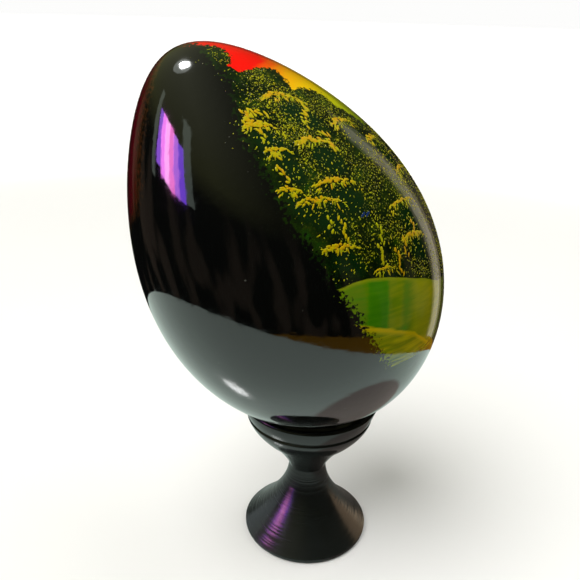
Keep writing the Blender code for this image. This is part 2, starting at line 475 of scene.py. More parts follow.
def lay_out_picture(mesh):
    """Writes, for each point of the upright egg, how far in millimetres it lies inside each edge
    of the picture. The lacquer's material and the spatter both read these."""
    count = len(mesh.vertices)
    local = np.empty(count * 3)
    mesh.vertices.foreach_get("co", local)
    local = local.reshape(-1, 3)
    x, y, z = local.T
    turned = np.array(EGG_PLACE.to_3x3())
    height = (EGG_MIDDLE.z + turned[2, 0] * x + turned[2, 1] * y + turned[2, 2] * z) / MM
    around = (np.degrees(np.arctan2(y, x)) - SEAM) % 360 + SEAM
    along = z / MM
    mm_per_degree = np.maximum(np.hypot(x, y) / MM, 1) * pi / 180
    near_turn = np.where(around > BLACK_MIDDLE, around - 360, around)
    far_turn = np.where(around < SEAM + 20, around + 360, around)
    inside_left = (near_turn - along_line(along, LEFT_EDGE)) * mm_per_degree
    inside_right = (along_line(along, RIGHT_EDGE) - far_turn) * mm_per_degree
    above_horizon = height - along_line(around, HORIZON)

    bearing, level, reach = radians(TIP_CROWN[0]), TIP_CROWN[1], TIP_CROWN[2]
    tip_x, tip_y = TIP_CROWN_OUT * cos(bearing), TIP_CROWN_OUT * sin(bearing)
    tip_away = np.hypot(np.hypot(x / MM - tip_x, y / MM - tip_y), along - level)
    below_crowns = np.maximum(inside_crowns(around, along, mm_per_degree), reach - tip_away)
    shade = np.zeros(count)
    for middle, level, half_span, _ in CROWN_EDGES:
        drop = (level - height - CROWN_SHADE) / CROWN_SHADE
        away = ((around - middle) / half_span) ** 2 + drop**2
        shade = np.maximum(shade, share(1.5 * (1 - away)))

    # The spatter lies on the leaves, thicker towards the front and on the high crowns there.
    leafy = (below_crowns > 0.2) * (above_horizon > 0.6) * (inside_left > 0)
    thick = share(inside_left / SPATTER_FADE) ** 0.7 * share(inside_right / SPATTER_FADE)
    front = 0.6 + 0.4 * share((10 - around) / 20)
    sunlit = front + front * 1.5 * share((along - 22) / 8) * share((-18 - around) / 10)
    patches = np.array([noise.noise(Vector(point) / PATCH) for point in local])
    patches = np.clip(0.7 + 1.3 * patches, 0.1, 1)
    stray = 0.04 * share(1 + inside_left / STRAY_REACH) * (inside_left <= 0) * (along > STRAY_FROM)
    values = {
        "inside_left": inside_left,
        "inside_right": inside_right,
        "below_crowns": below_crowns,
        "above_horizon": above_horizon,
        "below_ridge": along_line(around, RIDGE) - height,
        "above_foot": height - MEADOW_FOOT,
        "along": along,
        "wash": along_line(around + WASH_LEAN * (WASH_TOP - height), WASHES),
        "crown_shade": shade,
        "spatter": leafy * thick * sunlit * patches * (1 - 0.8 * shade) + stray,
    }
    for title, numbers in values.items():
        made = mesh.attributes.new(title, "FLOAT", "POINT")
        made.data.foreach_set("value", numbers.astype(np.float32))


# ---------------- brush strokes

# Gold crown edges: (degrees of the middle, mm over the table, half span in degrees, thickness).
CROWN_EDGES = [
    (-35, 122.2, 9, 0.8), (-58, 117.6, 7, 1.0), (-42, 114.6, 7, 1.15), (-58, 113.5, 5, 0.7),
    (-19, 117.2, 7, 0.9), (-10, 113.4, 5, 1.0), (-47, 107.6, 8, 0.95), (-64, 106.8, 4, 0.9),
    (-57, 104.6, 8, 0.9), (-60, 96.2, 6, 0.95), (-26, 101.8, 8, 0.7), (-9, 106.8, 6, 0.8),
    (-31, 95.4, 6, 1.0), (-50, 91.0, 4, 0.6), (6, 99, 7, 0.9), (14, 107, 6, 0.9),
    (30, 101, 8, 0.9), (41, 109, 6, 0.8), (52, 97, 7, 0.9), (66, 106, 8, 1.0), (72, 115, 6, 0.8),
    (84, 98, 7, 0.9), (98, 107, 7, 0.9), (112, 98, 6, 0.8), (150, 101, 7, 0.9), (168, 109, 6, 0.9),
    (176, 98, 7, 0.9), (190, 113, 5, 0.8),
]
# Upright strokes, as trunks and stalks: (degrees, mm over the table, length in mm, tint).
STALKS = [
    (-55, 99.5, 4, 0.7), (-58, 100.5, 2.5, 0.5), (-44, 97.5, 3.5, 0.45), (-48, 93.5, 4, 0.55),
    (-43, 91.5, 5, 0.95), (-37, 94, 3.5, 1.0), (-28, 96.5, 3, 0.95), (20, 94, 5, 0.6),
    (60, 93, 4, 0.8), (92, 94, 5, 0.6), (160, 95, 5, 0.7),
]
# Broken rows: where each starts and ends, how many dabs it has, and their spread in mm.
ROWS = [((-63, 106), (-58, 120), 34, 0.5), ((-26, 121), (-37, 117.5), 18, 0.2)]
ROWS += [((-33, 116), (-36, 112.7), 16, 0.25), ((-62, 118.4), (-50, 120), 20, 0.35)]
BLUE_TOUCH = (-44, 101.3)   # degrees, mm over the table
DAB_RISE = 0.045        # mm that a dab stands proud of the lacquer
DAB_PITCH = 0.24        # mm, along a crown edge
TEETH_PER_MM = 1.7
LOOSE_DABS = 46         # to a crown edge
LEFT_TRIM = -66         # degrees, where the loose dabs end on the left
FRONT_BELLY = 33        # mm, the egg's radius where the gold crown edges lie
CROWN_SCALE = 0.4       # mm to a degree round the egg, beside the sky


def dab(dabs, sizes, spot, lean_degrees, length_mm, width_mm, tint):
    """Adds one dab: its place, facing, run, half sizes and tint. A lean of 0 runs level and 90
    runs up the egg. A dab over the tree tops is left out."""
    place, facing = on_egg(sizes, *spot)
    if inside_crowns(spot[0], (EGG_PLACE.inverted() @ place).z / MM, CROWN_SCALE) < 0.5:
        return
    level = Vector((0, 0, 1)).cross(facing).normalized()
    rising = facing.cross(level)
    run = level * cos(radians(lean_degrees)) + rising * sin(radians(lean_degrees))
    half = Vector((length_mm / 2 * MM, width_mm / 2 * MM, DAB_RISE * MM))
    dabs.append((place, facing, run, half, tint))


def crown_edge(dabs, sizes, edge, chance):
    """One gold crown edge: a level bow of short dabs that overlap, with a comb of teeth below."""
    middle, height, half_span, thickness = edge
    span = 2 * half_span * FRONT_BELLY * pi / 180
    bow = 0.09 * span
    for side in spaced(-1, 1, round(span / DAB_PITCH)):
        around = middle + half_span * (side + chance.uniform(-0.06, 0.06))
        reach = thickness * (1 - 0.5 * side * side)
        level = height + bow * (0.5 - side * side) + reach * chance.uniform(-0.45, 0.45)
        width = reach * chance.uniform(0.4, 0.85)
        slope = -side * 25 + chance.uniform(-28, 28)
        shade = 1 - 0.25 * abs(side) - chance.uniform(0, 0.25)
        dab(dabs, sizes, (around, level), slope, chance.uniform(0.5, 1.15), width, shade)
    for _ in range(round(span * TEETH_PER_MM)):
        side = chance.uniform(-1.15, 1.15)
        drop = chance.uniform(0.5, 1.6)
        level = height + bow * (1 - side * side) - bow / 2 - drop * 0.75
        spot = (middle + half_span * side, level)
        lean = 90 + side * 30 + chance.uniform(-20, 20)
        dab(dabs, sizes, spot, lean, drop, chance.uniform(0.2, 0.42), chance.uniform(0.35, 0.8))


def stalk(dabs, sizes, stroke, chance):
    """An upright stroke of dabs that sway a little."""
    around, height, length_mm, tint = stroke
    for up in spaced(-0.5, 0.5, max(3, round(length_mm / 0.6))):
        sway = 1.2 * sin(up * 5) + chance.uniform(-0.4, 0.4)
        spot = (around + sway, height + up * length_mm)
        dab(dabs, sizes, spot, 85 + chance.uniform(-25, 25), 1.1, chance.uniform(0.4, 0.75), tint)


def loose_dabs(dabs, sizes, chance):
    """Short leaf dabs in small clusters, thicker to the left of each crown."""
    for middle, height, half_span, _ in CROWN_EDGES:
        for _ in range(LOOSE_DABS):
            around = middle + chance.gauss(-0.5, 1.1) * half_span
            level = height - 2.4 + chance.gauss(0, 2.6)
            if along_line(around, HORIZON) + 1 < level and around > LEFT_TRIM:
                lean = 60 + chance.uniform(-50, 50)
                size = chance.uniform(0.28, 0.65)
                dab(dabs, sizes, (around, level), lean, size, size * 0.45, chance.uniform(0.2, 0.7))


def broken_row(dabs, sizes, row, chance):
    """A slanting row of broken dabs from one (degrees, mm over the table) to another."""
    first, last, count, spread = row
    for up in spaced(0, 1, count):
        around = first[0] + (last[0] - first[0]) * up + chance.gauss(0, 2.6) * spread
        level = first[1] + (last[1] - first[1]) * up + chance.gauss(0, 1) * spread
        lean = 130 + chance.uniform(-30, 30)
        length_mm = chance.uniform(0.7, 1.6)
        dab(dabs, sizes, (around, level), lean, length_mm, 0.5, chance.uniform(0.5, 0.85))


def stroke_points(sizes):
    """A mesh of loose points, one for each dab, with the dab's facing, run, size and tint."""
    chance = Random(11)
    dabs = []
    for edge in CROWN_EDGES:
        crown_edge(dabs, sizes, edge, chance)
    for stroke in STALKS:
        stalk(dabs, sizes, stroke, chance)
    loose_dabs(dabs, sizes, chance)
    for row in ROWS:
        broken_row(dabs, sizes, row, chance)
    for step in range(4):
        spot = (BLUE_TOUCH[0] + 0.9 * step - 2, BLUE_TOUCH[1] + 0.3 * (step % 2))
        dab(dabs, sizes, spot, 40, 1.1, 0.6, -1.0)
    mesh = bpy.data.meshes.new("stroke_points")
    mesh.from_pydata([item[0] for item in dabs], [], [])
    for title, column in (("facing", 1), ("run", 2), ("half_size", 3)):
        made = mesh.attributes.new(title, "FLOAT_VECTOR", "POINT")
        made.data.foreach_set("vector", [value for item in dabs for value in item[column]])
    tints = mesh.attributes.new("tint", "FLOAT", "POINT")
    tints.data.foreach_set("value", [item[4] for item in dabs])
    return mesh


def stroke_tree():
    """Sets a low, rounded dab of paint on each point."""
    tree, given, out = new_tree("brush_strokes", {"Paint": "Material"})
    facing, run, half_size = (
        node(tree, "GeometryNodeInputNamedAttribute", {"Name": title}, data_type="FLOAT_VECTOR")
        for title in ("facing", "run", "half_size")
    )
    blob = node(tree, "GeometryNodeMeshUVSphere", {"Segments": 8, "Rings": 4, "Radius": 1.0})
    turned = node(
        tree,
        "FunctionNodeAxesToRotation",
        {"Primary Axis": facing, "Secondary Axis": run},
        primary_axis="Z",
        secondary_axis="X",
    )
    points = node(tree, "GeometryNodeMeshToPoints", {"Mesh": given["Geometry"]})
    set_down = node(
        tree,
        "GeometryNodeInstanceOnPoints",
        {"Points": points, "Instance": blob, "Rotation": turned, "Scale": half_size},
    )
    dressed(tree, out, set_down, given["Paint"], smooth=True)
    return tree


def spatter_tree():
    """Throws fine dabs over the egg, as thick as its spatter attribute says."""
    sockets = {"Per Square Metre": "Float", "Smallest": "Float", "Largest": "Float"}
    sockets |= {"Relief": "Float", "Seed": "Int", "Paint": "Material"}
    tree, given, out = new_tree("leaf_spatter", sockets)
    cover = node(tree, "GeometryNodeInputNamedAttribute", {"Name": "spatter"}, data_type="FLOAT")
    density = node(
        tree, "ShaderNodeMath", {0: cover, 1: given["Per Square Metre"]}, operation="MULTIPLY"
    )
    thrown = node(
        tree,
        "GeometryNodeDistributePointsOnFaces",
        {"Mesh": given["Geometry"], "Density": density, "Seed": given["Seed"]},
        distribute_method="RANDOM",
    )
    size = node(
        tree,
        "FunctionNodeRandomValue",
        {"Min": given["Smallest"], "Max": given["Largest"], "Seed": given["Seed"]},
        data_type="FLOAT",
    )
    swing = node(tree, "FunctionNodeRandomValue", {2: 0.3, 3: 2.4, "Seed": 3}, data_type="FLOAT")
    slim = node(tree, "FunctionNodeRandomValue", {2: 0.35, 3: 0.8, "Seed": 4}, data_type="FLOAT")
    tint = node(tree, "FunctionNodeRandomValue", {2: -0.1, 3: 0.65, "Seed": 5}, data_type="FLOAT")
    tinted = node(
        tree,
        "GeometryNodeStoreNamedAttribute",
        {"Geometry": thrown.outputs["Points"], "Name": "tint", "Value": tint},
        data_type="FLOAT",
        domain="POINT",
    )
    spin = node(tree, "FunctionNodeAxisAngleToRotation", {"Axis": (0, 0, 1), "Angle": swing})
    turned = node(
        tree,
        "FunctionNodeRotateRotation",
        {"Rotation": thrown.outputs["Rotation"], "Rotate By": spin},
        rotation_space="LOCAL",
    )
    breadth = node(tree, "ShaderNodeMath", {0: size, 1: slim}, operation="MULTIPLY")
    scale = node(tree, "ShaderNodeCombineXYZ", {"X": size, "Y": breadth, "Z": given["Relief"]})
    blob = node(tree, "GeometryNodeMeshIcoSphere", {"Radius": 1.0, "Subdivisions": 1})
    set_down = node(
        tree,
        "GeometryNodeInstanceOnPoints",
        {"Points": tinted, "Instance": blob, "Rotation": turned, "Scale": scale},
    )
    dressed(tree, out, set_down, given["Paint"], smooth=True)
    return tree


# ---------------- the stand's shape

SOCKET_RADIUS, SOCKET_DEPTH = 3.3 * MM, 9 * MM      # the hole in the foot
TENON_RADIUS, TENON_LENGTH = 3 * MM, 8.3 * MM       # the cup's peg that is glued into it
GLUE = 0.03 * MM            # between the foot and the cup's shoulder
HEEL_HEIGHT = 1.4 * MM
HEEL_ROUND = 1 * MM
BELL_POWER = 1.8            # a straight cone would be 1
FLOOR_RADIUS, FLOOR_HEIGHT = 6.5 * MM, 31.8 * MM    # the middle of the bowl
BOWL_POWER = 0.8            # an ellipse would be 1
BOWL_WALL_END = 0.75        # of the quarter turn from floor to seat
SEAT_RADIUS, SEAT_WIDTH = 17.1 * MM, 0.9 * MM       # the bevel that the egg rests on
SEAT_DROP = 0.7             # mm down for each mm inwards
RIM_ROUND = 0.7 * MM
GROOVE_DEPTH = 0.45 * MM
GROOVE_LIP = 0.3            # of the groove's depth that its upper edge stands proud
BAND_POWER = 1.25
BAND_BULGE = 0.04
CONE_RADIUS = 11.9 * MM     # the cup's underside at the step
CONE_DROP = 0.4 * MM        # of the underside below the step
CONE_POWER = 1.3


def foot_outline(sizes):
    """From the end of the socket over the neck, down the bell and round the heel."""
    neck, top = sizes.neck_radius, sizes.neck_height
    floor = top - SOCKET_DEPTH
    socket = [(0, floor - DRILL_POINT), (SOCKET_RADIUS, floor), (SOCKET_RADIUS, top)]
    bell = []
    for up in spaced(1, 0, 230):
        radius = neck + (sizes.heel_radius - neck) * (1 - up) ** BELL_POWER
        bell.append((radius, HEEL_HEIGHT + (top - HEEL_HEIGHT) * up))
    heel = arc((sizes.heel_radius - HEEL_ROUND, HEEL_ROUND), HEEL_ROUND, 0, -60, 8)
    return eased(socket, 0.2 * MM) + bell + heel + [(sizes.base_radius, 0), (0, 0)]


def cup_outline(sizes):
    """From the bowl's floor over the rim and down the outside to the tenon's end."""
    seat_foot = (SEAT_RADIUS - SEAT_WIDTH, sizes.rim_height - SEAT_DROP * SEAT_WIDTH)
    wall = []
    for up in spaced(0, BOWL_WALL_END, 24):
        rise = (seat_foot[1] - FLOOR_HEIGHT) * cos(up * pi / 2) ** BOWL_POWER
        radius = FLOOR_RADIUS + (seat_foot[0] - FLOOR_RADIUS) * sin(up * pi / 2)
        wall.append((radius, seat_foot[1] - rise))
    rim_middle = (sizes.rim_radius - RIM_ROUND, sizes.rim_height - RIM_ROUND)
    rim = arc(rim_middle, RIM_ROUND, 90, 0, 10)
    lip = (sizes.groove_radius + GROOVE_LIP * GROOVE_DEPTH, sizes.groove_height + GROOVE_DEPTH)
    groove = [lip, (sizes.groove_radius - GROOVE_DEPTH, sizes.groove_height)]
    band = []
    band_top = sizes.groove_height - GROOVE_DEPTH
    reach = sizes.step_radius - sizes.groove_radius
    for down in spaced(0, 1, 48):
        radius = sizes.groove_radius + reach * (down**BAND_POWER - sin(down * pi) * BAND_BULGE)
        band.append((radius, band_top + (sizes.step_height - band_top) * down))
    cone = []
    shoulder = sizes.neck_height + GLUE
    cone_top = sizes.step_height - CONE_DROP
    for up in spaced(1, 0, 90):
        radius = sizes.neck_radius + (CONE_RADIUS - sizes.neck_radius) * up**CONE_POWER
        cone.append((radius, shoulder + (cone_top - shoulder) * up))
    tenon_end = sizes.neck_height - TENON_LENGTH
    tenon = [(TENON_RADIUS, shoulder), (TENON_RADIUS, tenon_end), (0, tenon_end)]
    bowl = [(0, FLOOR_HEIGHT)] + wall + [seat_foot, (SEAT_RADIUS, sizes.rim_height)]
    return eased(bowl + rim + groove + band + cone + tenon, 0.22 * MM)


def turning_tree():
    """Raises fine rings between two heights, as the gouge leaves them under the paint."""
    sockets = {"Pitch": "Float", "Depth": "Float", "Lowest": "Float", "Highest": "Float"}
    sockets |= {"Paint": "Material"}
    tree, given, out = new_tree("turning_marks", sockets)
    place = node(tree, "GeometryNodeInputPosition")
    height = node(tree, "ShaderNodeSeparateXYZ", {"Vector": place}).outputs["Z"]
    turns = node(tree, "ShaderNodeMath", {0: height, 1: given["Pitch"]}, operation="DIVIDE")
    pattern = {"W": turns, "Scale": 0.35, "Detail": 2.0}
    uneven = node(tree, "ShaderNodeTexNoise", pattern, noise_dimensions="1D")
    shifted = node(
        tree, "ShaderNodeMath", {0: uneven.outputs[0], 1: 4.0, 2: turns}, operation="MULTIPLY_ADD"
    )
    angle = node(tree, "ShaderNodeMath", {0: shifted, 1: 2 * pi}, operation="MULTIPLY")
    ridge = node(tree, "ShaderNodeMath", {0: angle}, operation="SINE")
    strong = node(tree, "ShaderNodeMath", {0: ridge, 1: uneven.outputs[0]}, operation="MULTIPLY")
    lift = node(tree, "ShaderNodeMath", {0: strong, 1: given["Depth"]}, operation="MULTIPLY")
    over, under = (
        node(tree, "FunctionNodeCompare", {0: height, 1: given[end]}, operation=test)
        for end, test in (("Lowest", "GREATER_THAN"), ("Highest", "LESS_THAN"))
    )
    between = node(tree, "FunctionNodeBooleanMath", {0: over, 1: under}, operation="AND")
    offset = node(
        tree,
        "ShaderNodeVectorMath",
        {0: node(tree, "GeometryNodeInputNormal"), "Scale": lift},
        operation="SCALE",
    )
    marked = node(
        tree,
        "GeometryNodeSetPosition",
        {"Geometry": given["Geometry"], "Selection": between, "Offset": offset},
    )
    dressed(tree, out, marked, given["Paint"])
    return tree


# ---------------- materials

NIB_HEIGHT = 0.03 * MM      # of a speck of dust under the paint


def millimetres(tree):
    """The piece's own coordinates in millimetres."""
    place = node(tree, "ShaderNodeTexCoord").outputs["Object"]
    return node(tree, "ShaderNodeMapping", {"Vector": place, "Scale": (1000, 1000, 1000)})


def layered(tree, share, under, over):
    """One coat over another, by its share. A coat is a node, a hex or a linear colour."""
    coats = [coat if isinstance(coat, bpy.types.Node) else rgba(coat) for coat in (under, over)]
    return node(tree, "ShaderNodeMix", {0: share, 6: coats[0], 7: coats[1]}, data_type="RGBA")


def painted_edge(tree, distance, ragged, reach, soft):
    """0 outside and 1 inside an edge, from the distance inside it in millimetres. The ragged
    pattern moves the edge by up to the reach, over a soft width."""
    moved = node(tree, "ShaderNodeMath", {0: ragged, 1: 0.5}, operation="SUBTRACT")
    moved = node(
        tree, "ShaderNodeMath", {0: moved, 1: 2.0 * reach, 2: distance}, operation="MULTIPLY_ADD"
    )
    return node(tree, "ShaderNodeMapRange", {"Value": moved, "From Min": -soft, "From Max": soft})


def lacquered_painting(colours):
    """Oil-bound lacquer over a painted picture. It is flowed on and left to harden, so it has a
    deep wet gloss with faint orange peel and a few specks of dust under the skin."""
    made, tree, shader = new_material("black_lacquer_over_painting")
    place = millimetres(tree)
    measure = {
        title: node(tree, "ShaderNodeAttribute", attribute_name=title).outputs["Fac"]
        for title in (
            "inside_left", "inside_right", "below_crowns", "above_horizon",
            "below_ridge", "above_foot", "along", "wash", "crown_shade",
        )
    }
    # Patterns, each at its real size: 0.7 mm sponge dots, 1 mm bristles, 4 mm leaf clumps.
    sponge = node(tree, "ShaderNodeTexNoise", {"Vector": place, "Scale": 1 / 0.7, "Detail": 3.0})
    sponge = sponge.outputs[0]
    clumps = node(tree, "ShaderNodeTexNoise", {"Vector": place, "Scale": 1 / 4, "Detail": 4.0})
    clumps = clumps.outputs[0]
    streaked = node(tree, "ShaderNodeMapping", {"Vector": place, "Scale": (0.12, 0.12, 1.1)})
    bristles = node(tree, "ShaderNodeTexNoise", {"Vector": streaked, "Scale": 1.0, "Detail": 5.0})
    bristles = bristles.outputs[0]

    height = node(
        tree,
        "ShaderNodeMath",
        {0: bristles, 1: 3.0, 2: measure["along"]},
        operation="MULTIPLY_ADD",
    )
    sky_place = node(
        tree, "ShaderNodeMapRange", {"Value": height, "From Min": 0.0, "From Max": 52.0}
    )
    sky = node(
        tree,
        "ShaderNodeValToRGB",
        {0: sky_place},
        stops=[
            (0.0, colours.leaf_green), (0.44, colours.lime), (0.55, "#d6d80c"),
            (0.65, colours.golden), (0.73, "#ffb400"), (0.78, colours.orange),
            (0.82, colours.red),
        ],
    )
    dusk = node(
        tree,
        "ShaderNodeMapRange",
        {"Value": measure["inside_right"], "From Min": 7.0, "From Max": 20.0},
    )
    sky = layered(tree, dusk, "#5c0414", sky)

    leaves = node(
        tree,
        "ShaderNodeValToRGB",
        {0: clumps},
        stops=[
            (0.3, colours.leaf_dark), (0.5, "#0a2004"), (0.6, "#1c3204"),
            (0.72, colours.leaf_green),
        ],
    )
    leaves = layered(tree, measure["crown_shade"], leaves, "#0d2a0c")
    flecks = node(
        tree, "ShaderNodeTexVoronoi", {"Vector": place, "Scale": 1 / 0.55, "Randomness": 1.0}
    )
    fleck = node(
        tree,
        "ShaderNodeMapRange",
        {"Value": flecks.outputs["Distance"], "From Min": 0.4, "From Max": 0.24},
    )
    lit = node(tree, "ShaderNodeMapRange", {"Value": clumps, "From Min": 0.36, "From Max": 0.6})
    deep = node(
        tree,
        "ShaderNodeMapRange",
        {"Value": measure["inside_left"], "From Min": 0.0, "From Max": 7.0},
    )
    open_air = node(
        tree, "ShaderNodeMath", {0: 1.0, 1: measure["crown_shade"]}, operation="SUBTRACT"
    )
    fleck = node(tree, "ShaderNodeMath", {0: fleck, 1: lit}, operation="MULTIPLY")
    fleck = node(tree, "ShaderNodeMath", {0: fleck, 1: deep}, operation="MULTIPLY")
    fleck = node(tree, "ShaderNodeMath", {0: fleck, 1: open_air}, operation="MULTIPLY")
    fleck = node(tree, "ShaderNodeMath", {0: fleck, 1: 0.7}, operation="MULTIPLY")
    leaves = layered(tree, fleck, leaves, "#5f6208")

    washed = node(
        tree, "ShaderNodeMath", {0: bristles, 1: 0.6, 2: measure["wash"]}, operation="MULTIPLY_ADD"
    )
    washed = node(tree, "ShaderNodeMath", {0: washed, 1: 1.5}, operation="DIVIDE")
    meadow = node(
        tree,
        "ShaderNodeValToRGB",
        {0: washed},
        stops=[
            (0.2, "#3f8a04"), (0.35, colours.grass), (0.5, "#74980a"), (0.66, "#a3ac12"),
            (0.85, colours.straw),
        ],
    )
    low_ground = node(
        tree,
        "ShaderNodeValToRGB",
        {0: bristles},
        stops=[(0.35, "#6f9008"), (0.5, "#98a608"), (0.65, "#c0c010")],
    )
    ridge = painted_edge(tree, measure["below_ridge"], bristles, 0.8, 0.25)
    meadow = layered(tree, ridge, meadow, low_ground)
    crest = node(
        tree,
        "ShaderNodeMapRange",
        {"Value": measure["below_ridge"], "From Min": 1.9, "From Max": 0.7},
    )
    crest = node(tree, "ShaderNodeMath", {0: crest, 1: ridge}, operation="MULTIPLY")
    meadow = layered(tree, crest, meadow, "#e4cc08")
    rim_light = node(
        tree,
        "ShaderNodeMapRange",
        {"Value": measure["above_horizon"], "From Min": -0.9, "From Max": -0.2},
    )
    meadow = layered(tree, rim_light, meadow, "#a0ac14")

    in_crowns = painted_edge(tree, measure["below_crowns"], sponge, 2.2, 0.2)
    picture = layered(tree, in_crowns, sky, leaves)
    below = node(
        tree, "ShaderNodeMath", {0: measure["above_horizon"], 1: -1.0}, operation="MULTIPLY"
    )
    in_meadow = painted_edge(tree, below, bristles, 0.25, 0.12)
    picture = layered(tree, in_meadow, picture, meadow)

    left = painted_edge(tree, measure["inside_left"], sponge, 4.5, 0.5)
    right = painted_edge(tree, measure["inside_right"], sponge, 5.0, 2.5)
    foot = painted_edge(tree, measure["above_foot"], bristles, 3.0, 0.9)
    whole = node(tree, "ShaderNodeMath", {0: left, 1: right}, operation="MULTIPLY")
    whole = node(tree, "ShaderNodeMath", {0: whole, 1: foot}, operation="MULTIPLY")
    ground = node(
        tree,
        "ShaderNodeMapRange",
        {"Value": measure["above_foot"], "From Min": -9.0, "From Max": 0.0},
    )
    haze = node(tree, "ShaderNodeMath", {0: ground, 1: left}, operation="MULTIPLY")
    haze = node(tree, "ShaderNodeMath", {0: haze, 1: right}, operation="MULTIPLY")
    haze = node(tree, "ShaderNodeMath", {0: haze, 1: 0.17}, operation="MULTIPLY")
    black = layered(tree, haze, colours.black, colours.grass)
    paint = layered(tree, whole, black, picture)
    dust = node(tree, "ShaderNodeTexVoronoi", {"Vector": place, "Scale": 1 / 3.4})
    speck = node(
        tree,
        "ShaderNodeMapRange",
        {"Value": dust.outputs["Distance"], "From Min": 0.055, "From Max": 0.03},
    )
    caught = node(tree, "ShaderNodeSeparateColor", {0: dust.outputs["Color"]}).outputs[0]
    caught = node(tree, "ShaderNodeMath", {0: caught, 1: 0.6}, operation="GREATER_THAN")
    nib = node(tree, "ShaderNodeMath", {0: speck, 1: caught}, operation="MULTIPLY")
    paint = layered(tree, nib, paint, "#6e7068")

    # The peel has cells of 2.2 mm and is drawn higher than in life. A nib is 0.3 mm across.
    peel = node(tree, "ShaderNodeTexNoise", {"Vector": place, "Scale": 1 / 2.2, "Detail": 1.5})
    peel_bump = node(
        tree,
        "ShaderNodeBump",
        {"Height": peel.outputs[0], "Strength": 1.0, "Distance": 0.045 * MM},
    )
    bump = node(
        tree,
        "ShaderNodeBump",
        {"Height": nib, "Strength": 1.0, "Distance": NIB_HEIGHT, "Normal": peel_bump},
    )
    gloss = node(
        tree,
        "ShaderNodeMapRange",
        {"Value": clumps, "From Min": 0.3, "From Max": 0.7, "To Min": 0.05, "To Max": 0.1},
    )
    give(
        shader,
        {
            "Base Color": paint,
            "Roughness": gloss,
            "Normal": bump,
            "IOR": 1.52,
            "Coat Weight": 1.0,
            "Coat Roughness": 0.025,
            "Coat IOR": 1.5,
        },
    )
    return made


def opaque_paint(colours):
    """Opaque oil paint laid on in thick dabs, fairly dull under a thin coat of the lacquer. The
    tint runs from olive through yellow-green to gold, or to blue."""
    made, tree, shader = new_material("opaque_oil_paint_dabs")
    place = millimetres(tree)
    tint = node(tree, "ShaderNodeAttribute", attribute_name="tint").outputs["Fac"]
    mottle = node(tree, "ShaderNodeTexNoise", {"Vector": place, "Scale": 1 / 1.4, "Detail": 2.0})
    varied = node(
        tree,
        "ShaderNodeMath",
        {0: mottle.outputs[0], 1: 0.3, 2: tint},
        operation="MULTIPLY_ADD",
    )
    shade = node(
        tree,
        "ShaderNodeValToRGB",
        {0: varied},
        stops=[
            (0.0, "#363a08"), (0.3, "#6c6e0a"), (0.6, colours.leaf_light), (0.85, "#cdb604"),
            (1.0, colours.gold),
        ],
    )
    is_blue = node(tree, "ShaderNodeMath", {0: tint, 1: -0.5}, operation="LESS_THAN")
    shade = layered(tree, is_blue, shade, colours.blue)
    bristles = node(tree, "ShaderNodeTexNoise", {"Vector": place, "Scale": 1 / 0.25, "Detail": 2.0})
    bump = node(
        tree,
        "ShaderNodeBump",
        {"Height": bristles.outputs[0], "Strength": 0.6, "Distance": 0.01 * MM},
    )
    give(
        shader,
        {
            "Base Color": shade,
            "Roughness": 0.4,
            "Specular IOR Level": 0.12,
            "Normal": bump,
            "IOR": 1.5,
            "Coat Weight": 0.6,
            "Coat Roughness": 0.06,
        },
    )
    return made


def bare_linden():
    """Bare lime wood, sawn across the grain: pale and dry, with faint rings and fine pores."""
    made, tree, shader = new_material("bare_linden_end_grain")
    place = node(tree, "ShaderNodeTexCoord").outputs["Object"]
    upright = node(
        tree,
        "ShaderNodeMapping",
        {
            "Vector": place,
            "Location": EGG_MIDDLE,
            "Rotation": EGG_TURNED.to_euler(),
            "Scale": (MM, MM, MM),
        },
        vector_type="TEXTURE",
    )
    shifted = node(tree, "ShaderNodeMapping", {"Vector": upright, "Location": (9, 3, 0)})
    rings = node(
        tree,
        "ShaderNodeTexWave",
        {"Vector": shifted, "Scale": 0.2, "Distortion": 0.6, "Detail": 2.0},
        wave_type="RINGS",
        rings_direction="Z",
    )
    tones = [(0, "#c9ab7d"), (1, "#dcc39a")]
    wood = node(tree, "ShaderNodeValToRGB", {0: rings.outputs["Fac"]}, stops=tones)
    pores = node(tree, "ShaderNodeTexVoronoi", {"Vector": upright, "Scale": 1 / 0.22})
    pore = node(
        tree,
        "ShaderNodeMapRange",
        {"Value": pores.outputs["Distance"], "From Min": 0.1, "From Max": 0.35},
    )
    worn = layered(tree, pore, "#8d6c42", wood)
    bump = node(tree, "ShaderNodeBump", {"Height": pore, "Strength": 0.5, "Distance": 0.02 * MM})
    give(shader, {"Base Color": worn, "Roughness": 0.62, "Normal": bump, "IOR": 1.5})
    return made


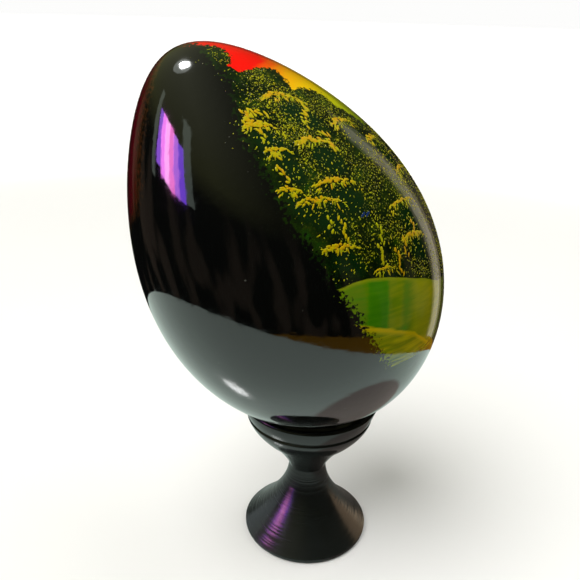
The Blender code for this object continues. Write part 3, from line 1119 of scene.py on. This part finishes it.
def stand_paint(name, shade, dull, coat, fine_lines):
    """Black alkyd enamel brushed on turned wood while it spun: the lathe's fine lines show
    through, and the sheen changes a little from band to band."""
    made, tree, shader = new_material(name)
    place = millimetres(tree)
    lined = node(tree, "ShaderNodeMapping", {"Vector": place, "Scale": (0.05, 0.05, 1 / 0.28)})
    lines = node(tree, "ShaderNodeTexNoise", {"Vector": lined, "Scale": 1.0, "Detail": 3.0})
    patches = node(tree, "ShaderNodeTexNoise", {"Vector": place, "Scale": 1 / 5, "Detail": 3.0})
    tone = node(
        tree,
        "ShaderNodeValToRGB",
        {0: patches.outputs[0]},
        stops=[(0.3, shade), (0.7, "#171a19")],
    )
    gloss = node(
        tree,
        "ShaderNodeMapRange",
        {
            "Value": lines.outputs[0],
            "From Min": 0.3,
            "From Max": 0.7,
            "To Min": dull * 0.8,
            "To Max": dull * 1.25,
        },
    )
    dust = node(tree, "ShaderNodeTexVoronoi", {"Vector": place, "Scale": 1 / 3.5})
    nib = node(
        tree,
        "ShaderNodeMapRange",
        {"Value": dust.outputs["Distance"], "From Min": 0.07, "From Max": 0.03},
    )
    line_bump = node(
        tree,
        "ShaderNodeBump",
        {"Height": lines.outputs[0], "Strength": 1.0, "Distance": fine_lines},
    )
    bump = node(
        tree,
        "ShaderNodeBump",
        {"Height": nib, "Strength": 1.0, "Distance": NIB_HEIGHT, "Normal": line_bump},
    )
    give(
        shader,
        {
            "Base Color": tone,
            "Roughness": gloss,
            "Normal": bump,
            "IOR": 1.5,
            "Coat Weight": coat,
            "Coat Roughness": 0.08,
        },
    )
    return made


# ---------------- the stage

CAMERA_DISTANCE = 166 * MM
CAMERA_LENS = 41.28              # mm, on a 36 mm sensor
CAMERA_ELEVATION = radians(23.35)
CAMERA_ROLL = radians(1.6)
CAMERA_AIM = Vector((-6.19, 0, 72.95)) * MM
FLOOR_REACH = 6                  # m
TABLE_RADIUS = 139 * MM          # of the pale table top that the lacquer mirrors
TABLE_MIDDLE = Vector((-29, -6, 0)) * MM
RIM_OF_TABLE_RADIUS = 132 * MM   # its brown wooden rim, which shows on one side
RIM_OF_TABLE_MIDDLE = Vector((20, -25, 0)) * MM
# A painted shadow: where the egg's shadow falls, the table top that the lacquer mirrors is darker
# in this disc.
MIRRORED_SHADOW_RADIUS = 33 * MM
MIRRORED_SHADOW_MIDDLE = Vector((36, -3, 0)) * MM

# Lights that only the gloss sees: name, bearing and elevation in degrees from the egg's flank
# (0 is straight in front, positive to the right), width, height (m), strength and colour.
MIRRORED = [
    ("window_1", -84.5, 14.5, 0.07, 0.28, 5.5, "#a866ff"),
    ("window_2", -79.5, 14, 0.07, 0.31, 9.0, "#ff86ff"),
    ("window_3", -74.5, 13.5, 0.07, 0.32, 11.0, "#ffa8f4"),
    ("window_4", -69.5, 13, 0.07, 0.32, 9.0, "#ff80e0"),
    ("window_5", -64.5, 12.5, 0.07, 0.3, 7.5, "#c878ff"),
    ("window_6", -59.5, 12, 0.07, 0.28, 6.0, "#8a54ff"),
    ("curtain_left", -91, 16, 0.07, 0.46, 0.9, "#b8c6ba"),
    ("curtain_right", -53.5, 19, 0.1, 0.46, 1.0, "#b8c8be"),
    ("lamp", -106, 62, 0.13, 0.16, 60.0, "#ffffff"),
    ("lamp_glow", -104, 59, 0.26, 0.3, 0.9, "#e4ece8"),
    ("doorway", 131, 0, 0.26, 1.12, 0.3, "#d8c8a8"),
    ("door_gap", 130, 1, 0.15, 1.0, 0.5, "#e0d8c0"),
    ("foot_side_left", -118, 8, 0.5, 0.5, 1.6, "#a4b0b4"),
    ("foot_side_right", 122, 10, 0.6, 0.6, 2.4, "#b89c7e"),
]
MIRRORED_FROM = Vector((-28, -27, 112)) * MM
MIRRORED_DISTANCE = 0.8         # m

# Soft lights for everything: name, bearing, elevation, strength, and angle across in degrees.
SUNS = [("soft_key", -55, 62, 3.1, 50), ("soft_fill", 115, 50, 1.5, 70)]


def direction(bearing, elevation):
    turn, rise = radians(bearing), radians(elevation)
    return Vector((sin(turn) * cos(rise), -cos(turn) * cos(rise), sin(rise)))


def add_camera():
    forward = Vector((0, cos(CAMERA_ELEVATION), -sin(CAMERA_ELEVATION)))
    level_up = Vector((0, sin(CAMERA_ELEVATION), cos(CAMERA_ELEVATION)))
    level_right = Vector((1, 0, 0))
    right = level_right * cos(CAMERA_ROLL) + level_up * sin(CAMERA_ROLL)
    up = level_up * cos(CAMERA_ROLL) - level_right * sin(CAMERA_ROLL)
    camera = new_object("camera", bpy.data.cameras.new("camera"))
    camera.data.lens = CAMERA_LENS
    camera.data.sensor_width = 36
    camera.data.clip_start = 0.01
    turned = Matrix((right, up, -forward)).transposed().to_4x4()
    camera.matrix_world = Matrix.Translation(CAMERA_AIM - forward * CAMERA_DISTANCE) @ turned
    bpy.context.scene.camera = camera


def add_floor():
    """A plain pale floor. What the lacquer mirrors of it ends like a small table top."""
    shape = bmesh.new()
    bmesh.ops.create_circle(shape, cap_ends=True, segments=128, radius=FLOOR_REACH)
    mesh = bpy.data.meshes.new("floor")
    shape.to_mesh(mesh)
    shape.free()
    floor = new_object("floor", mesh)
    made, tree, shader = new_material("pale_table_top")
    place = node(tree, "ShaderNodeTexCoord").outputs["Object"]
    away = node(tree, "ShaderNodeVectorMath", {0: place, 1: TABLE_MIDDLE}, operation="DISTANCE")
    reach = away.outputs["Value"]
    on_edge = node(tree, "ShaderNodeMath", {0: reach, 1: TABLE_RADIUS}, operation="GREATER_THAN")
    away = node(
        tree, "ShaderNodeVectorMath", {0: place, 1: RIM_OF_TABLE_MIDDLE}, operation="DISTANCE"
    )
    past_rim = node(
        tree,
        "ShaderNodeMath",
        {0: away.outputs["Value"], 1: RIM_OF_TABLE_RADIUS},
        operation="GREATER_THAN",
    )
    beyond = node(tree, "ShaderNodeMath", {0: on_edge, 1: past_rim}, operation="MULTIPLY")
    seen = node(tree, "ShaderNodeLightPath").outputs["Is Camera Ray"]
    unseen = node(tree, "ShaderNodeMath", {0: 1.0, 1: seen}, operation="SUBTRACT")
    hidden = node(tree, "ShaderNodeMath", {0: beyond, 1: unseen}, operation="MULTIPLY")
    brown = node(tree, "ShaderNodeMath", {0: on_edge, 1: unseen}, operation="MULTIPLY")
    away = node(
        tree, "ShaderNodeVectorMath", {0: place, 1: MIRRORED_SHADOW_MIDDLE}, operation="DISTANCE"
    )
    # Painted shadow: the mirrored table top is darker inside the shadow's disc. The eye still sees
    # the floor evenly pale.
    shadow = node(
        tree,
        "ShaderNodeMapRange",
        {
            "Value": away.outputs["Value"],
            "From Min": MIRRORED_SHADOW_RADIUS * 1.06,
            "From Max": MIRRORED_SHADOW_RADIUS * 0.94,
        },
    )
    mirrored = layered(tree, shadow, "#b4c3be", "#928a86")
    top = layered(tree, seen, mirrored, "#f3f2f0")
    top = layered(tree, brown, top, "#86600f")
    near = node(
        tree,
        "ShaderNodeMapRange",
        {"Value": reach, "From Min": 0.45, "From Max": 0.2, "To Max": 0.5},
    )
    give(shader, {"Base Color": top, "Roughness": 0.11, "Specular IOR Level": near})
    clear = node(tree, "ShaderNodeBsdfTransparent")
    mixed = node(tree, "ShaderNodeMixShader", {0: hidden, 1: shader, 2: clear})
    give(tree.nodes["Material Output"], {"Surface": mixed})
    mesh.materials.append(made)


def add_surroundings():
    """A pale backdrop to the eye, and a dim room with a paler ceiling to the gloss."""
    world = bpy.data.worlds.new("studio")
    world.use_nodes = True
    tree = world.node_tree
    towards = node(tree, "ShaderNodeTexCoord").outputs["Generated"]
    parts = node(tree, "ShaderNodeSeparateXYZ", {"Vector": towards}).outputs
    rise = parts["Z"]
    room = node(
        tree,
        "ShaderNodeValToRGB",
        {0: rise},
        stops=[(0.0, "#0a0a0a"), (0.18, "#15150e"), (0.36, "#6a6c46"), (1.0, "#989a80")],
    )
    far_side = node(
        tree,
        "ShaderNodeMapRange",
        {"Value": parts["X"], "From Min": -0.5, "From Max": 0.15, "To Max": 0.82},
    )
    room = layered(tree, far_side, room, "#10100a")
    low = node(tree, "ShaderNodeMapRange", {"Value": rise, "From Min": 0.35, "From Max": 0.0})
    tall = node(tree, "ShaderNodeMapping", {"Vector": towards, "Scale": (4, 4, 1)})
    shapes = node(tree, "ShaderNodeTexNoise", {"Vector": tall, "Scale": 1.3, "Detail": 1.0})
    shape = node(
        tree,
        "ShaderNodeMapRange",
        {"Value": shapes.outputs[0], "From Min": 0.48, "From Max": 0.58},
    )
    furnished = node(tree, "ShaderNodeMath", {0: shape, 1: low}, operation="MULTIPLY")
    room = layered(tree, furnished, room, "#463c34")
    seen = node(tree, "ShaderNodeLightPath").outputs["Is Camera Ray"]
    shade = layered(tree, seen, room, "#fdfdfc")
    give(tree.nodes["Background"], {"Strength": 1, "Color": shade})
    bpy.context.scene.world = world


def add_light(name, kind, towards):
    """A light that shines back from this direction."""
    light = new_object(name, bpy.data.lights.new(name, kind))
    light.rotation_euler = (-towards).to_track_quat("-Z", "Y").to_euler()
    return light


def add_lights():
    """Two soft lights for everything, and the mirrored ones. A mirrored light other than the
    lamp is kept off the floor and the cup, which would carry its tint to the eye."""
    kept_dark = bpy.data.collections.new("not_lit_by_the_window")
    for name in ("floor", "egg_cup"):
        kept_dark.objects.link(bpy.data.objects[name])
    for item in kept_dark.collection_objects:
        item.light_linking.link_state = "EXCLUDE"
    foot_only = bpy.data.collections.new("lit_by_the_foot_lights")
    foot_only.objects.link(bpy.data.objects["bell_foot"])
    for name, bearing, elevation, strength, angle in SUNS:
        sun = add_light(name, "SUN", direction(bearing, elevation))
        sun.data.energy = strength
        sun.data.angle = radians(angle)
        sun.visible_glossy = False
    for name, bearing, elevation, width, height, strength, shade in MIRRORED:
        towards = direction(bearing, elevation)
        panel = add_light(name, "AREA", towards)
        panel.location = MIRRORED_FROM + towards * MIRRORED_DISTANCE
        panel.data.shape = "ELLIPSE" if name.startswith("lamp") else "RECTANGLE"
        panel.data.size, panel.data.size_y = width, height
        panel.data.energy = strength * pi * width * height
        panel.data.color = linear(shade)
        panel.visible_camera = False
        panel.visible_diffuse = False
        if name.startswith("foot"):
            panel.light_linking.receiver_collection = foot_only
        elif not name.startswith("lamp"):
            panel.light_linking.receiver_collection = kept_dark


# ---------------- operators

def taken(sizes, *titles):
    """A group's sizes by the names of the inputs that take them."""
    return {title: getattr(sizes, title.lower()) for title in titles}


class PAINTED_EGG_OT_stage(bpy.types.Operator):
    """Sets the camera, the pale floor and the soft lights"""

    bl_idname = "painted_egg.stage"
    bl_label = "Stage"

    def execute(self, context):
        add_camera()
        add_floor()
        add_surroundings()
        add_lights()
        context.scene.view_settings.view_transform = "Standard"
        return {"FINISHED"}


class PAINTED_EGG_OT_body(bpy.types.Operator):
    """Makes the egg, finer than its frame, and paints and lacquers it"""

    bl_idname = "painted_egg.body"
    bl_label = "Egg body"

    def execute(self, context):
        sizes = context.scene.egg_sizes
        values = taken(sizes, "Length", "Width", "Taper", "Point", "Sides", "Rings")
        values["Mouth Turn"] = turn_at_radius(sizes, sizes.peg_hole)
        values["Lacquer"] = lacquered_painting(context.scene.paint_colours)
        egg = grown("painted_egg", bpy.data.meshes.new("blank"), egg_tree(), values)
        sink_peg_hole(egg.data, sizes)
        lay_out_picture(egg.data)
        egg.data.transform(EGG_PLACE)
        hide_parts("egg_body")
        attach(egg, "egg")
        return {"FINISHED"}


class PAINTED_EGG_OT_brushwork(bpy.types.Operator):
    """Lays the brush strokes and the leaf spatter on the egg"""

    bl_idname = "painted_egg.brushwork"
    bl_label = "Brushwork"

    def execute(self, context):
        egg = bpy.data.objects.get("painted_egg")
        if egg is None:
            raise RuntimeError("Make the egg body before its brushwork")
        sizes = context.scene.spatter_sizes
        paint = opaque_paint(context.scene.paint_colours)
        values = taken(sizes, "Smallest", "Largest", "Relief", "Seed")
        values |= {"Per Square Metre": sizes.per_square_mm / (MM * MM), "Paint": paint}
        spatter = grown("leaf_spatter", egg.data.copy(), spatter_tree(), values)
        points = stroke_points(context.scene.egg_sizes)
        strokes = grown("brush_strokes", points, stroke_tree(), {"Paint": paint})
        for piece in (spatter, strokes):
            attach(piece, "egg")
        return {"FINISHED"}


class PAINTED_EGG_OT_plug(bpy.types.Operator):
    """Makes the bare wooden plug in the egg's blunt end"""

    bl_idname = "painted_egg.plug"
    bl_label = "Plug"

    def execute(self, context):
        sizes = context.scene.egg_sizes
        radius = sizes.peg_hole - PLUG_GAP
        top = sizes.peg_depth - sizes.length / 2 - PLUG_GAP
        outline = [(0, top), (radius - PLUG_CHAMFER, top), (radius, top - PLUG_CHAMFER)]
        cap = spaced(turn_at_radius(sizes, radius), pi, 9)
        outline += [egg_point(sizes, turn) for turn in cap[:-1]] + [(0, -sizes.length / 2)]
        plug = new_object("peg_hole_plug", lathe("peg_hole_plug", eased(outline, 0.1 * MM), 64))
        plug.data.transform(EGG_PLACE)
        plug.data.materials.append(bare_linden())
        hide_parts("egg_plug")
        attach(plug, "plug")
        return {"FINISHED"}


class PAINTED_EGG_OT_stand(bpy.types.Operator):
    """Turns the foot and the cup, with the lathe's marks under their paint"""

    bl_idname = "painted_egg.stand"
    bl_label = "Foot and cup"

    def execute(self, context):
        sizes = context.scene.stand_sizes
        marks = turning_tree()
        satin = stand_paint("satin_black_enamel", "#141614", 0.22, 0.0, 0.010 * MM)
        glossy = stand_paint("gloss_black_enamel", "#0c0f0e", 0.19, 0.3, 0.004 * MM)
        # The marks run from a low to a high end, and are fainter on the cup than on the foot.
        for name, cad_node, slot, outline, paint, low, high, depth in (
            ("bell_foot", "stand_foot", "satin_black_paint", foot_outline(sizes), satin,
             1.6 * MM, sizes.neck_height - 0.2 * MM, sizes.mark_depth),
            ("egg_cup", "stand_cup", "gloss_black_paint", cup_outline(sizes), glossy,
             sizes.neck_height + 1 * MM, sizes.step_height - 0.8 * MM, sizes.mark_depth / 3),
        ):
            values = {"Pitch": sizes.mark_pitch, "Depth": depth, "Lowest": low, "Highest": high}
            values["Paint"] = paint
            piece = grown(name, lathe(name, outline, sizes.sides), marks, values)
            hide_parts(cad_node)
            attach(piece, "stand")
        return {"FINISHED"}


class PAINTED_EGG_PT_panel(bpy.types.Panel):
    """Lists the egg's sizes, its colours and the steps that build it"""

    bl_idname = "PAINTED_EGG_PT_panel"
    bl_label = "Painted Egg"
    bl_space_type = "VIEW_3D"
    bl_region_type = "UI"
    bl_category = "Painted Egg"

    def draw(self, context):
        for title, group in GROUPS.items():
            box = self.layout.box()
            box.label(text=title.replace("_", " ").capitalize())
            for field in group.__annotations__:
                box.prop(getattr(context.scene, title), field)
        for step in STEPS:
            self.layout.operator(step.bl_idname)


STEPS = (
    PAINTED_EGG_OT_stand,
    PAINTED_EGG_OT_body,
    PAINTED_EGG_OT_brushwork,
    PAINTED_EGG_OT_plug,
    PAINTED_EGG_OT_stage,
)
CLASSES = (*GROUPS.values(), *STEPS, PAINTED_EGG_PT_panel)


def register():
    for item in CLASSES:
        bpy.utils.register_class(item)
    for title, group in GROUPS.items():
        setattr(bpy.types.Scene, title, PointerProperty(type=group))


def unregister():
    for title in GROUPS:
        delattr(bpy.types.Scene, title)
    for item in reversed(CLASSES):
        bpy.utils.unregister_class(item)


def main():
    register()
    bpy.ops.painted_egg.stand()
    bpy.ops.painted_egg.body()
    bpy.ops.painted_egg.brushwork()
    bpy.ops.painted_egg.plug()
    bpy.ops.painted_egg.stage()


if __name__ == "__main__":
    main()
